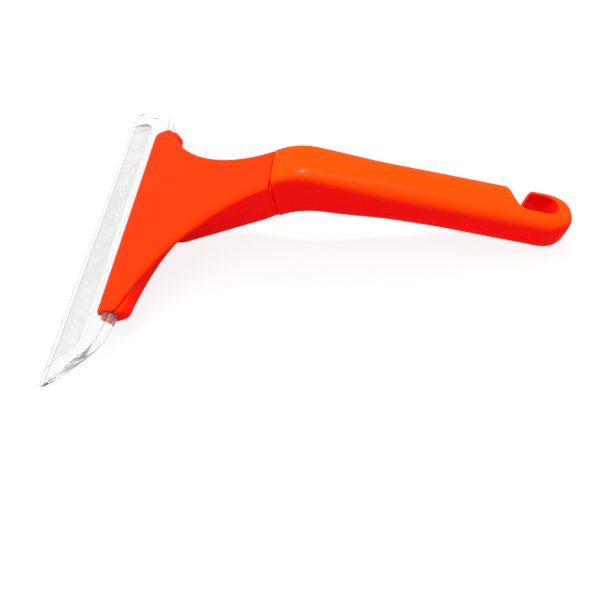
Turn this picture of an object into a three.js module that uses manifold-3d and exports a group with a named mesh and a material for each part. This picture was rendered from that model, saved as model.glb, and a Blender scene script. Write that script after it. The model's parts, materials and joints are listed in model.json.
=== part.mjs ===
// Glass scraper: a bent grip with a hanging hook, a fan-shaped head closed by a cover and a base,
// a clear blade whose bead is clamped between them, and the screws that hold the head on the grip's tongue.
// Millimetres, +Z up. The tool lies on a table, on its blade's edge and on the end of its grip.

import * as THREE from "three";
import { mergeVertices } from "three/addons/utils/BufferGeometryUtils.js";
import Module from "manifold-3d";

const wasm = await Module();
wasm.setup();

// Fits
const GAP = 0.3; // between pieces that meet
const SEAM_GAP = 0.5; // visible groove between grip and head
const HEAD_STEP = 0.9; // the grip's top stands this much proud of the head

// Grip: +X runs from the bend to the hook, and its top line is at Z = 0
const GRIP_LENGTH = 116.5; // bend to the end of the hook
const GRIP_WIDTH = 20.4;
const GRIP_HEIGHT = 17.6;
const BEND_HEIGHT = 20.8; // the grip is deeper at the bend
const GRIP_TAPER = 60; // length over which it gets shallower
const GRIP_ROUNDNESS = 3.2; // exponent of the section: 2 is an ellipse, more is squarer
const NECK_ROUNDNESS = 4.6;
const GRIP_NOSE = 12.5; // length over which the end rounds off
const NOSE_ROUNDNESS = 2.2; // exponent of the end seen from above
const HEEL_ROUNDNESS = 4; // and seen from the side
const BEND_ANGLE = THREE.MathUtils.degToRad(38);
const BEND_INNER_RADIUS = 5;
const SEAM_FROM_BEND = 11.5; // along the top of the neck; the seam is mitred to half the bend

// Hanging hook: a slot through the grip's end, open on the +Y side
const SLOT_WIDTH = 10.2;
const SLOT_WALL_Y = -3.6; // flat wall of the slot, from the middle of the grip
const SLOT_START = 20; // from the end of the grip to where the flat wall starts
const HOOK_WALL = 7.2; // material round the end of the slot
const MOUTH_WIDTH = 11.2; // opening on the side of the grip
const MOUTH_START = 29.3; // from the end of the grip
const MOUTH_ROUND = 2.1; // corner of the mouth
const WALL_ROUND = 6.7; // corner between mouth and flat wall

// Tongue of the grip, inside the neck of the head
const TONGUE_LENGTH = 38;
const TONGUE_WIDTH = 13.6;
const TONGUE_HEIGHT = 9;
const TONGUE_CHAMFER = 2;
const TONGUE_ROOT = 4; // how far it runs back into the grip

// Head: -X runs from the bend to the blade, and the cover's flat top is at Z = 0
const HEAD_LENGTH = 91.5; // bend to the front of the head
const HEAD_WIDTH = 109;
const HEAD_END = 11; // length of each end of the fan, beside the mouth
const NECK_WIDTH = 21.6;
const FAN_NECK_REACH = 39.5; // how far the fan's edge runs on along the neck, from the bend
const FAN_WING_REACH = 27; // how far it runs on along the wing
const FAN_CORNER = 3.2;
const COVER_EDGE_RADIUS = 2.4;
const COVER_THICKNESS = 3;
const FRONT_RADIUS = 5; // rounded front of the cover

// Base of the head
const HEAD_THICKNESS = 10.2; // at the front
const NECK_DEPTH = 19.5; // at the keel under the neck
const KEEL_WIDTH = 19.2;
const KEEL_FRONT = 14; // front of the head to the foot of the keel's ramp
const KEEL_RAMP = 10;
const BASE_SETBACK = 0.8; // the base's front from the cover's
const BASE_WALL = 2.2;
const BASE_EDGE_RADIUS = 2;
const BASE_END = 14; // length of each end of the base's bar
const BASE_FILLET_REACH = 46.5; // front of the head to where the fillets leave the keel
const BASE_KEEL_SWEEP = 17; // how far each fillet runs on along the keel
const BASE_BAR_SWEEP = 22; // and along the front bar
const BASE_BAR_LEAN = 5.5; // how far it leans back over that
const BASE_CORNER = 5;

// Blade, level with the head
const BLADE_REACH = 24.5; // front of the head to the scraping edge
const BLADE_WIDTH = 164.8;
const BLADE_THICKNESS = 3.2;
const BLADE_EDGE = 0.8; // thickness of the scraping edge
const BLADE_LIP = 4.6; // length of the bevel behind the edge
const BLADE_TIP_ROUND = 3;
const BLADE_TIP_FLAT = 0.9; // corner of each tip to the joint between its two flats
const BLADE_SHOULDER = 6; // thick stretch in front of the head
const BLADE_RIM = 6; // thick stretch along each end
const BLADE_SWEEP = 6; // how far each end bows out
const PANEL_DROP = 1.2; // the panel lies this much below the shoulder
const PANEL_CORNER = 5;
const PANEL_TAPER = 10; // the panel is this much narrower at its back corners
const BEAD_RADIUS = 3.1;
const BEAD_SETBACK = 6.4; // front of the head to the bead's middle
const BEAD_END_WIDTH = 114; // where the bead turns into the rims
const BEAD_TURN = 12; // how far it runs on while it turns
const RIM_TIP_RADIUS = 1.3;

// Screws, driven from below
const SCREW_RADIUS = 1.3;
const SCREW_FIT = 0.1; // gap round the thread in its post
const SCREW_HEAD_RADIUS = 2.7;
const SCREW_HEAD_HEIGHT = 1.8;
const SCREW_CROWN_RADIUS = 1.9;
const SCREW_RIM_HEIGHT = 0.9;
const SCREW_POINT = 1.4;
const SCREW_SPARE = 0.8; // hole left above the screw's point
const RECESS_LENGTH = 2.8;
const RECESS_WIDTH = 0.7;
const RECESS_DEPTH = 1;
const COUNTERBORE = 2.6; // depth from the underside to the screw's seat
const POST_RADIUS = 3.2;
const SEAT_THICKNESS = 1.8; // material above a screw's head
const HEAD_SCREW_SPACING = 23;
const NECK_SCREW_INSET = 8; // from the foot of the seam, and from the end of the tongue

// Sizes that follow from the ones above
const HALF_HEAD = HEAD_WIDTH / 2;
const HALF_BLADE = BLADE_THICKNESS / 2;
const BLADE_DEPTH = COVER_THICKNESS + GAP + HALF_BLADE; // middle of the blade below the cover's top
const SEAM_LEAN = Math.tan(BEND_ANGLE / 2); // the seam's foot leans forward
const BEAD_X = -HEAD_LENGTH + BEAD_SETBACK;
const GROOVE_RADIUS = BEAD_RADIUS + GAP;
const POCKET_FRONT = BEAD_X + GROOVE_RADIUS + BASE_WALL; // the base is solid in front of this
const TONGUE_TOP = COVER_THICKNESS + GAP;
const TONGUE_FOOT = TONGUE_TOP + TONGUE_HEIGHT;
const TONGUE_END = -SEAM_FROM_BEND - TONGUE_LENGTH;
const FAR = BLADE_WIDTH; // past the end of anything that is cut
const SLIVER = 0.004; // edges shorter than this are closed up

// Materials
const orange = new THREE.MeshStandardMaterial({ color: 0xff4d00, roughness: 0.38, metalness: 0 });
const clear = new THREE.MeshStandardMaterial({
  color: 0xf1f4f6,
  roughness: 0.06,
  metalness: 0,
  transparent: true,
  opacity: 0.35,
});
const steel = new THREE.MeshStandardMaterial({ color: 0xa9abad, roughness: 0.35, metalness: 1 });

// A closed geometry as a solid that can be joined and cut, without the triangles that merging flattened.
function solid(geometry) {
  const bare = geometry.clone();
  bare.deleteAttribute("normal");
  bare.deleteAttribute("uv");
  const merged = mergeVertices(bare, 1e-4);
  const vertProperties = new Float32Array(merged.getAttribute("position").array);
  const corners = merged.index.array;
  const kept = [];
  for (let i = 0; i < corners.length; i += 3) {
    const [a, b, c] = corners.slice(i, i + 3);
    if (a !== b && b !== c && c !== a) kept.push(a, b, c);
  }
  const triVerts = new Uint32Array(kept);
  return new wasm.Manifold(new wasm.Mesh({ numProp: 3, vertProperties, triVerts }));
}

// A solid as a named mesh, without the slivers that joining and cutting leave.
function piece(name, body, material) {
  const data = body.asOriginal().simplify(SLIVER).getMesh();
  const geometry = new THREE.BufferGeometry();
  geometry.setAttribute("position", new THREE.BufferAttribute(new Float32Array(data.vertProperties), 3));
  geometry.setIndex(new THREE.BufferAttribute(new Uint32Array(data.triVerts), 1));
  geometry.computeVertexNormals();
  const mesh = new THREE.Mesh(geometry, material);
  mesh.name = name;
  return mesh;
}

// A plan outline carried from one height to another, with its edges rounded, or drawn in by an inset.
function slab(shape, low, high, { radius = 0, inset = 0, segments = 12 } = {}) {
  const geometry = new THREE.ExtrudeGeometry(shape, {
    depth: high - low - 2 * radius,
    bevelEnabled: radius > 0 || inset > 0,
    bevelThickness: radius,
    bevelSize: radius,
    bevelOffset: -radius - inset,
    bevelSegments: 4,
    curveSegments: segments,
  });
  return solid(geometry.translate(0, 0, low + radius));
}

// A side outline, drawn in X and Z, carried across the tool.
function sideSlab(shape, width) {
  const geometry = new THREE.ExtrudeGeometry(shape, {
    depth: width,
    bevelEnabled: false,
    curveSegments: 12,
  });
  return solid(geometry.rotateX(Math.PI / 2).translate(0, width / 2, 0));
}

// A round bar across the tool.
function crossBar(radius, x, z) {
  const geometry = new THREE.CylinderGeometry(radius, radius, FAR, 32);
  return solid(geometry.translate(x, 0, z));
}

// An upright round bar.
function post(radius, x, y, low, high) {
  const geometry = new THREE.CylinderGeometry(radius, radius, high - low, 24);
  return solid(geometry.rotateX(Math.PI / 2).translate(x, y, (low + high) / 2));
}

// A skin through rings of equally many points, closed by a flat cap at each end.
function loft(rings) {
  const count = rings[0].length;
  const index = [];
  for (let ring = 0; ring + 1 < rings.length; ring++) {
    for (let i = 0; i < count; i++) {
      const a = ring * count + i;
      const b = ring * count + ((i + 1) % count);
      index.push(a, b, b + count, a, b + count, a + count);
    }
  }
  const last = (rings.length - 1) * count;
  for (let i = 1; i + 1 < count; i++) {
    index.push(0, i + 1, i, last, last + i, last + i + 1);
  }
  const geometry = new THREE.BufferGeometry().setFromPoints(rings.flat());
  geometry.setIndex(index);
  return solid(geometry);
}

// A point of a rounded section: a superellipse of the given half sizes.
function superellipse(angle, halfWidth, halfHeight, exponent) {
  const power = (value) => Math.sign(value) * Math.abs(value) ** (2 / exponent);
  return new THREE.Vector2(halfWidth * power(Math.cos(angle)), halfHeight * power(Math.sin(angle)));
}

// The head's frame seen from the grip's: bent down, and a step lower.
const headPlace = new THREE.Matrix4().makeRotationY(-BEND_ANGLE);
headPlace.multiply(new THREE.Matrix4().makeTranslation(0, 0, -HEAD_STEP));

// All that lies on one side of the seam, in the head's frame: -1 is the head's side and 1 the grip's.
function seamSide(side, shift) {
  const line = (z) => shift - SEAM_FROM_BEND + z * SEAM_LEAN;
  const shape = new THREE.Shape();
  shape.moveTo(line(FAR), FAR);
  shape.lineTo(line(FAR) + 2 * side * FAR, FAR);
  shape.lineTo(line(-FAR) + 2 * side * FAR, -FAR);
  shape.lineTo(line(-FAR), -FAR);
  return sideSlab(shape, FAR);
}

// Where each section of the grip stands: from past the seam, round the bend and along to the end.
// Each station has the top point of the section, its turn, its height and how far the end has rounded off.
function gripStations() {
  const bendRadius = BEND_HEIGHT + BEND_INNER_RADIUS;
  const tangent = bendRadius * SEAM_LEAN;
  const centre = new THREE.Vector3(tangent, 0, -bendRadius);
  const pastSeam = SEAM_FROM_BEND + BEND_HEIGHT;
  const first = new THREE.Vector3(-Math.cos(BEND_ANGLE), 0, -Math.sin(BEND_ANGLE)).multiplyScalar(pastSeam);
  const stations = [{ top: first, turn: BEND_ANGLE, height: BEND_HEIGHT, nose: 0 }];
  const bendSteps = 8;
  for (let i = bendSteps; i >= 0; i--) {
    const turn = (BEND_ANGLE * i) / bendSteps;
    const top = wayUp(turn).multiplyScalar(bendRadius).add(centre);
    stations.push({ top, turn, height: BEND_HEIGHT, nose: 0 });
  }
  const noseStart = GRIP_LENGTH - GRIP_NOSE;
  const heightAt = (x) => {
    const along = THREE.MathUtils.smoothstep(x, tangent, tangent + GRIP_TAPER);
    return THREE.MathUtils.lerp(BEND_HEIGHT, GRIP_HEIGHT, along);
  };
  const shaftSteps = 9;
  for (let i = 1; i <= shaftSteps; i++) {
    const x = THREE.MathUtils.lerp(tangent, noseStart, i / shaftSteps);
    stations.push({ top: new THREE.Vector3(x, 0, 0), turn: 0, height: heightAt(x), nose: 0 });
  }
  const noseSteps = 8;
  const lastAngle = THREE.MathUtils.degToRad(88);
  for (let i = 1; i <= noseSteps; i++) {
    const nose = Math.sin((i / noseSteps) * lastAngle);
    const x = noseStart + GRIP_NOSE * nose;
    stations.push({ top: new THREE.Vector3(x, 0, 0), turn: 0, height: heightAt(x), nose });
  }
  return stations;
}

// The way up in a section that is turned with the bend.
function wayUp(turn) {
  return new THREE.Vector3(-Math.sin(turn), 0, Math.cos(turn));
}

// The grip's skin: rounded sections that get squarer towards the seam and close at the end.
function gripBody() {
  const points = 40;
  const rings = gripStations().map(({ top, turn, height, nose }) => {
    const exponent = THREE.MathUtils.lerp(GRIP_ROUNDNESS, NECK_ROUNDNESS, turn / BEND_ANGLE);
    const halfWidth = (GRIP_WIDTH / 2) * (1 - nose ** NOSE_ROUNDNESS) ** (1 / NOSE_ROUNDNESS);
    const halfHeight = (height / 2) * (1 - nose ** HEEL_ROUNDNESS) ** (1 / HEEL_ROUNDNESS);
    const middle = top.clone().addScaledVector(wayUp(turn), -height / 2);
    return Array.from({ length: points }, (_, i) => {
      const p = superellipse((2 * Math.PI * i) / points, halfWidth, halfHeight, exponent);
      return middle.clone().addScaledVector(wayUp(turn), p.y).setY(p.x);
    });
  });
  return loft(rings);
}

// The slot of the hook, in plan: in from the side, round the corner and along to a round end.
function hookSlot() {
  const start = GRIP_LENGTH - SLOT_START;
  const mouth = GRIP_LENGTH - MOUTH_START;
  const tip = mouth + MOUTH_WIDTH;
  const radius = SLOT_WIDTH / 2;
  const end = GRIP_LENGTH - HOOK_WALL - radius;
  const side = GRIP_WIDTH / 2;
  const outside = GRIP_WIDTH;
  const shape = new THREE.Shape();
  shape.moveTo(mouth, outside);
  shape.lineTo(mouth, side);
  shape.bezierCurveTo(mouth + MOUTH_ROUND, side, start - WALL_ROUND, SLOT_WALL_Y, start, SLOT_WALL_Y);
  shape.lineTo(end, SLOT_WALL_Y);
  shape.absarc(end, SLOT_WALL_Y + radius, radius, -Math.PI / 2, Math.PI / 2, false);
  shape.lineTo(tip, SLOT_WALL_Y + SLOT_WIDTH);
  shape.lineTo(tip, outside);
  return slab(shape, -FAR, FAR, { segments: 10 });
}

// The posts that the screws bite into: how far down each reaches, the underside there and its seat's top.
function screwPlaces() {
  const seamFoot = -SEAM_FROM_BEND - NECK_DEPTH * SEAM_LEAN;
  const postFoot = TONGUE_TOP + TONGUE_HEIGHT / 2 - GAP;
  const neck = { y: 0, foot: postFoot, under: NECK_DEPTH, padTop: -TONGUE_FOOT - GAP };
  const padTop = SEAT_THICKNESS + COUNTERBORE - HEAD_THICKNESS;
  const x = POCKET_FRONT + POST_RADIUS + 2 * GAP;
  const front = { x, foot: -padTop - GAP, under: HEAD_THICKNESS, padTop };
  return [
    { name: "neck_screw_rear", x: seamFoot - NECK_SCREW_INSET, ...neck },
    { name: "neck_screw_front", x: TONGUE_END + NECK_SCREW_INSET, ...neck },
    { name: "head_screw_left", y: -HEAD_SCREW_SPACING / 2, ...front },
    { name: "head_screw_right", y: HEAD_SCREW_SPACING / 2, ...front },
  ];
}

// The tongue: a bar with a chamfered end, bored for the cover's posts and for the neck screws.
function tongue() {
  const half = TONGUE_WIDTH / 2;
  const root = TONGUE_ROOT - SEAM_FROM_BEND;
  const shape = new THREE.Shape();
  shape.moveTo(root, -half);
  shape.lineTo(root, half);
  shape.lineTo(TONGUE_END + TONGUE_CHAMFER, half);
  shape.lineTo(TONGUE_END, half - TONGUE_CHAMFER);
  shape.lineTo(TONGUE_END, TONGUE_CHAMFER - half);
  shape.lineTo(TONGUE_END + TONGUE_CHAMFER, -half);
  let body = slab(shape, -TONGUE_FOOT, -TONGUE_TOP);
  for (const { x, y, foot } of screwPlaces()) {
    body = body.subtract(post(POST_RADIUS + GAP, x, y, -foot - GAP, FAR));
    body = body.subtract(post(SCREW_RADIUS + GAP, x, y, -FAR, FAR));
  }
  return body;
}

function grip() {
  const ahead = seamSide(-1, 0).transform(headPlace.elements);
  const body = gripBody().subtract(hookSlot()).subtract(ahead);
  return body.add(tongue().transform(headPlace.elements));
}

// The fan seen from above: straight front, short ends, and edges that sweep in to the neck.
function fanOutline() {
  const front = -HEAD_LENGTH;
  const neck = NECK_WIDTH / 2;
  const wing = front + HEAD_END;
  const shape = new THREE.Shape();
  shape.moveTo(0, -neck);
  shape.lineTo(0, neck);
  shape.lineTo(-SEAM_FROM_BEND, neck);
  shape.bezierCurveTo(
    -FAN_NECK_REACH, neck,
    wing + FAN_WING_REACH / 2, HALF_HEAD - FAN_WING_REACH,
    wing + FAN_CORNER / 2, HALF_HEAD - FAN_CORNER,
  );
  shape.quadraticCurveTo(wing, HALF_HEAD, wing - FAN_CORNER, HALF_HEAD);
  shape.lineTo(front, HALF_HEAD);
  shape.lineTo(front, -HALF_HEAD);
  shape.lineTo(wing - FAN_CORNER, -HALF_HEAD);
  shape.quadraticCurveTo(wing, -HALF_HEAD, wing + FAN_CORNER / 2, FAN_CORNER - HALF_HEAD);
  shape.bezierCurveTo(
    wing + FAN_WING_REACH / 2, FAN_WING_REACH - HALF_HEAD,
    -FAN_NECK_REACH, -neck,
    -SEAM_FROM_BEND, -neck,
  );
  return shape;
}

// The cover from the side: a plate with a rounded front.
function coverProfile() {
  const front = FRONT_RADIUS - HEAD_LENGTH;
  const last = Math.acos((FRONT_RADIUS - COVER_THICKNESS) / FRONT_RADIUS);
  const shape = new THREE.Shape();
  shape.moveTo(0, 0);
  shape.lineTo(front, 0);
  shape.absarc(front, -FRONT_RADIUS, FRONT_RADIUS, Math.PI / 2, Math.PI / 2 + last, false);
  shape.lineTo(0, -COVER_THICKNESS);
  return shape;
}

// The cover: the fan, arched along its front for the bead, with posts for the screws.
function headCover() {
  const plate = slab(fanOutline(), -FAR, 0, { radius: COVER_EDGE_RADIUS, segments: 18 });
  let body = plate.intersect(sideSlab(coverProfile(), FAR));
  for (const { x, y, foot } of screwPlaces()) {
    body = body.add(post(POST_RADIUS, x, y, -foot, -COVER_THICKNESS / 2));
    body = body.subtract(post(SCREW_RADIUS, x, y, -FAR, -COVER_THICKNESS / 2));
  }
  body = body.subtract(crossBar(GROOVE_RADIUS, BEAD_X, -BLADE_DEPTH));
  return body.subtract(seamSide(1, -SEAM_GAP));
}

// The base seen from above: a stem that spreads in two wide fillets into the bar along the front.
function baseOutline() {
  const front = -HEAD_LENGTH + BASE_SETBACK;
  const stem = KEEL_WIDTH / 2 - GAP;
  const bar = -HEAD_LENGTH + BASE_END;
  const foot = -HEAD_LENGTH + BASE_FILLET_REACH;
  const corner = HALF_HEAD - BASE_CORNER;
  const lean = bar + BASE_BAR_LEAN;
  const shape = new THREE.Shape();
  shape.moveTo(0, -stem);
  shape.lineTo(0, stem);
  shape.lineTo(foot, stem);
  shape.bezierCurveTo(foot - BASE_KEEL_SWEEP, stem + GAP, lean, corner - BASE_BAR_SWEEP, bar, corner);
  shape.quadraticCurveTo(bar, HALF_HEAD, bar - BASE_CORNER, HALF_HEAD);
  shape.lineTo(front, HALF_HEAD);
  shape.lineTo(front, -HALF_HEAD);
  shape.lineTo(bar - BASE_CORNER, -HALF_HEAD);
  shape.quadraticCurveTo(bar, -HALF_HEAD, bar, -corner);
  shape.bezierCurveTo(lean, BASE_BAR_SWEEP - corner, foot - BASE_KEEL_SWEEP, -stem - GAP, foot, -stem);
  return shape;
}

// The keel seen from above, drawn in by a wall.
function keelOutline(wall) {
  const half = KEEL_WIDTH / 2 - wall;
  const nose = -HEAD_LENGTH + KEEL_FRONT + wall;
  const shape = new THREE.Shape();
  shape.moveTo(0, -half);
  shape.lineTo(0, half);
  shape.lineTo(nose, half);
  shape.lineTo(nose, -half);
  return shape;
}

// The keel from the side: deep, with a ramp up to its front.
function keelProfile(wall) {
  const nose = -HEAD_LENGTH + KEEL_FRONT + wall;
  const shape = new THREE.Shape();
  shape.moveTo(0, FAR);
  shape.lineTo(nose, FAR);
  shape.lineTo(nose, wall - HEAD_THICKNESS + BASE_EDGE_RADIUS);
  shape.quadraticCurveTo(nose + KEEL_RAMP / 2, wall - NECK_DEPTH, nose + KEEL_RAMP, wall - NECK_DEPTH);
  shape.lineTo(0, wall - NECK_DEPTH);
  return shape;
}

// A plain block in the head's frame, between two corners and as wide as given.
function block(rear, front, width, low, high) {
  const geometry = new THREE.BoxGeometry(rear - front, width, high - low);
  return solid(geometry.translate((rear + front) / 2, 0, (low + high) / 2));
}

// The base: an open tray with a keel, a groove for the bead and sunk seats for the screws.
function headBase() {
  const top = -COVER_THICKNESS - GAP;
  const bar = slab(baseOutline(), -HEAD_THICKNESS, FAR, { radius: BASE_EDGE_RADIUS, segments: 14 });
  const keel = slab(keelOutline(0), -NECK_DEPTH, FAR, { radius: BASE_EDGE_RADIUS });
  const outer = bar.add(keel.intersect(sideSlab(keelProfile(0), FAR)));
  const floor = BASE_WALL - HEAD_THICKNESS;
  const barPocket = slab(baseOutline(), floor, FAR, { inset: BASE_WALL, segments: 14 });
  const keelRoom = slab(keelOutline(BASE_WALL), -FAR, FAR);
  const keelPocket = keelRoom.intersect(sideSlab(keelProfile(BASE_WALL), FAR));
  const behindWall = block(0, POCKET_FRONT, FAR, -FAR, FAR);
  let pocket = barPocket.add(keelPocket).intersect(behindWall);
  pocket = pocket.subtract(seamSide(1, -SEAM_GAP - BASE_WALL));
  pocket = pocket.add(block(0, TONGUE_END - GAP, TONGUE_WIDTH + 2 * GAP, -TONGUE_FOOT - GAP, FAR));
  let body = outer.subtract(pocket);
  for (const { x, y, under, padTop } of screwPlaces()) {
    const pad = post(POST_RADIUS + BASE_WALL, x, y, -under, padTop);
    body = body.add(pad.intersect(outer));
    body = body.subtract(post(SCREW_RADIUS + GAP, x, y, -FAR, FAR));
    body = body.subtract(post(SCREW_HEAD_RADIUS + GAP, x, y, -FAR, COUNTERBORE - under));
  }
  body = body.subtract(crossBar(GROOVE_RADIUS, BEAD_X, -BLADE_DEPTH));
  body = body.subtract(block(BEAD_X, -FAR, FAR, -BLADE_DEPTH - HALF_BLADE - GAP, FAR));
  body = body.subtract(block(FAR, -FAR, FAR, top, 2 * FAR));
  return body.subtract(seamSide(1, -SEAM_GAP));
}

// The blade's outline in its own plane, with -X forward and the front of the head at X = 0.
function bladeOutline() {
  const rear = BEAD_SETBACK;
  const front = -BLADE_REACH;
  const tip = BLADE_WIDTH / 2;
  const root = BEAD_END_WIDTH / 2;
  const bow = tip - BLADE_SWEEP;
  const shape = new THREE.Shape();
  shape.moveTo(rear, -root);
  shape.lineTo(rear, root);
  shape.quadraticCurveTo(0, bow, front + BLADE_TIP_ROUND, tip);
  shape.lineTo(front + BLADE_TIP_FLAT, tip - BLADE_TIP_FLAT);
  shape.lineTo(front, tip - BLADE_TIP_ROUND);
  shape.lineTo(front, BLADE_TIP_ROUND - tip);
  shape.lineTo(front + BLADE_TIP_FLAT, BLADE_TIP_FLAT - tip);
  shape.lineTo(front + BLADE_TIP_ROUND, -tip);
  shape.quadraticCurveTo(0, -bow, rear, -root);
  return shape;
}

// The blade from the side: one slope over the lip and the ends of the rims, down to the scraping edge.
function bladeProfile() {
  const front = -BLADE_REACH;
  const edge = BLADE_EDGE - HALF_BLADE;
  const slope = (HALF_BLADE - PANEL_DROP - edge) / BLADE_LIP;
  const shape = new THREE.Shape();
  shape.moveTo(front, -FAR);
  shape.lineTo(front, edge);
  shape.lineTo(front + FAR, edge + slope * FAR);
  shape.lineTo(front + FAR, -FAR);
  return shape;
}

// The sunk panel between the shoulder, the end rims and the lip.
function panelOutline() {
  const rear = -BLADE_SHOULDER;
  const front = -BLADE_REACH - BLADE_LIP;
  const halfFront = BLADE_WIDTH / 2 - BLADE_RIM;
  const corner = halfFront - PANEL_TAPER;
  const halfRear = corner - PANEL_CORNER;
  const shape = new THREE.Shape();
  shape.moveTo(rear, -halfRear);
  shape.lineTo(rear, halfRear);
  shape.quadraticCurveTo(rear, corner, rear - PANEL_CORNER, corner + PANEL_CORNER / 2);
  shape.lineTo(front, halfFront);
  shape.lineTo(front, -halfFront);
  shape.lineTo(rear - PANEL_CORNER, -corner - PANEL_CORNER / 2);
  shape.quadraticCurveTo(rear, -corner, rear, -halfRear);
  return shape;
}

// The bead: a round bar along the back that thins as it turns forward along the ends to the tips.
function bladeBead() {
  const root = BEAD_END_WIDTH / 2 - BEAD_RADIUS;
  const tip = BLADE_WIDTH / 2 - BEAD_RADIUS;
  const end = new THREE.CubicBezierCurve3(
    new THREE.Vector3(BEAD_SETBACK, root, 0),
    new THREE.Vector3(BEAD_SETBACK, root + BEAD_TURN, 0),
    new THREE.Vector3(0, tip - BLADE_SWEEP, 0),
    new THREE.Vector3(BLADE_LIP - BLADE_REACH, tip, 0),
  );
  const steps = 14;
  const points = 16;
  const stations = [];
  for (let i = -steps; i <= steps; i++) {
    if (i === 0) continue;
    const t = (Math.abs(i) - 1) / (steps - 1);
    const mirror = new THREE.Vector3(1, Math.sign(i), 1);
    const at = end.getPoint(t).multiply(mirror);
    const tangent = end.getTangent(t).multiply(mirror).multiplyScalar(Math.sign(i));
    stations.push({ at, tangent, radius: THREE.MathUtils.lerp(BEAD_RADIUS, RIM_TIP_RADIUS, t) });
  }
  const upright = new THREE.Vector3(0, 0, 1);
  const rings = stations.map(({ at, tangent, radius }) => {
    const sideways = new THREE.Vector3().crossVectors(upright, tangent).normalize();
    return Array.from({ length: points }, (_, i) => {
      const angle = (2 * Math.PI * (i + 0.5)) / points;
      const out = sideways.clone().multiplyScalar(Math.cos(angle)).setZ(Math.sin(angle));
      return at.clone().addScaledVector(out, radius);
    });
  });
  return loft(rings);
}

function blade() {
  const plate = slab(bladeOutline(), -HALF_BLADE, HALF_BLADE, { segments: 14 });
  const panel = slab(panelOutline(), HALF_BLADE - PANEL_DROP, FAR, { segments: 8 });
  const shaped = plate.add(bladeBead()).intersect(sideSlab(bladeProfile(), 2 * FAR));
  return shaped.subtract(panel);
}

// A pan-head screw, point up, with its seat at Z = 0 and a cross recess under its head.
function screw(length) {
  const shank = SCREW_RADIUS - SCREW_FIT;
  const outline = [
    [0, -SCREW_HEAD_HEIGHT],
    [SCREW_CROWN_RADIUS, -SCREW_HEAD_HEIGHT],
    [SCREW_HEAD_RADIUS, -SCREW_RIM_HEIGHT],
    [SCREW_HEAD_RADIUS, 0],
    [shank, 0],
    [shank, length - SCREW_POINT],
    [0, length],
  ];
  const profile = outline.map(([x, y]) => new THREE.Vector2(x, y));
  let body = solid(new THREE.LatheGeometry(profile, 20).rotateX(Math.PI / 2));
  for (const turn of [0, Math.PI / 2]) {
    const blank = new THREE.BoxGeometry(RECESS_LENGTH, RECESS_WIDTH, 2 * RECESS_DEPTH);
    body = body.subtract(solid(blank.rotateZ(turn).translate(0, 0, -SCREW_HEAD_HEIGHT)));
  }
  return body;
}

const head = new THREE.Group();
head.applyMatrix4(headPlace);
head.add(piece("head_cover", headCover(), orange), piece("head_base", headBase(), orange));
for (const { name, x, y, under } of screwPlaces()) {
  const seat = COUNTERBORE - under - SCREW_FIT;
  const length = -COVER_THICKNESS / 2 - SCREW_SPARE - seat;
  const mesh = piece(name, screw(length), steel);
  mesh.position.set(x, y, seat);
  head.add(mesh);
}
const bladeMesh = piece("blade", blade(), clear);
bladeMesh.position.set(-HEAD_LENGTH, 0, -BLADE_DEPTH);
head.add(bladeMesh);

// The tool lies on the blade's edge and the heel of the grip, so it is tipped until both are level.
const tool = new THREE.Group();
const gripMesh = piece("grip", grip(), orange);
tool.add(gripMesh, head);
tool.updateMatrixWorld(true);
const edge = new THREE.Vector3(-BLADE_REACH, 0, -HALF_BLADE).applyMatrix4(bladeMesh.matrixWorld);
const corners = gripMesh.geometry.getAttribute("position");
const heel = new THREE.Vector3();
let tip = Math.PI / 2;
for (let i = 0; i < corners.count; i++) {
  heel.fromBufferAttribute(corners, i).sub(edge);
  if (heel.x > GRIP_LENGTH) tip = Math.min(tip, Math.atan2(heel.z, heel.x));
}
tool.rotation.y = tip;
tool.updateMatrixWorld(true);

const box = new THREE.Box3().setFromObject(tool, true);
const centre = box.getCenter(new THREE.Vector3());
tool.position.set(-centre.x, -centre.y, -box.min.z);

const scraper = new THREE.Group();
scraper.add(tool);
scraper.updateMatrixWorld(true);

export default scraper;
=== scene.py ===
"""Glass scraper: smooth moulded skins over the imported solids, with finishes, stage and camera.

Every skin is the zero surface of a distance field that numpy works out on a grid. The fields are
written in two frames of the tool. In the grip's frame +X runs from the bend to the hook and the
grip's top line is at Z = 0. In the head's frame -X runs from the bend to the blade and the cover's
flat top is at Z = 0.
"""

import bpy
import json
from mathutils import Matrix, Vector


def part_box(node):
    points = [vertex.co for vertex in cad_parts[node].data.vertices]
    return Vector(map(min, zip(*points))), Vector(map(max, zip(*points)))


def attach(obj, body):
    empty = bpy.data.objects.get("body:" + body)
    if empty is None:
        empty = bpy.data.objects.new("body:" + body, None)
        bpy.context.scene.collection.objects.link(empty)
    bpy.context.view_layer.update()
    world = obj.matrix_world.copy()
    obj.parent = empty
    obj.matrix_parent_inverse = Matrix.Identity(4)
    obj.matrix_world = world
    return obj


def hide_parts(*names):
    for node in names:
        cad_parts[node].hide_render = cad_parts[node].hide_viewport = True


bl_info = {
    "name": "Glass scraper",
    "version": (1, 0, 0),
    "blender": (4, 5, 0),
    "location": "View3D > Sidebar > Scraper",
    "description": "Builds the skins, finishes and stage of a glass scraper round its solids",
    "category": "Object",
}

import json
import math

import bpy
import numpy as np
from bpy.props import FloatProperty, FloatVectorProperty, PointerProperty
from mathutils import Euler

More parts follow.
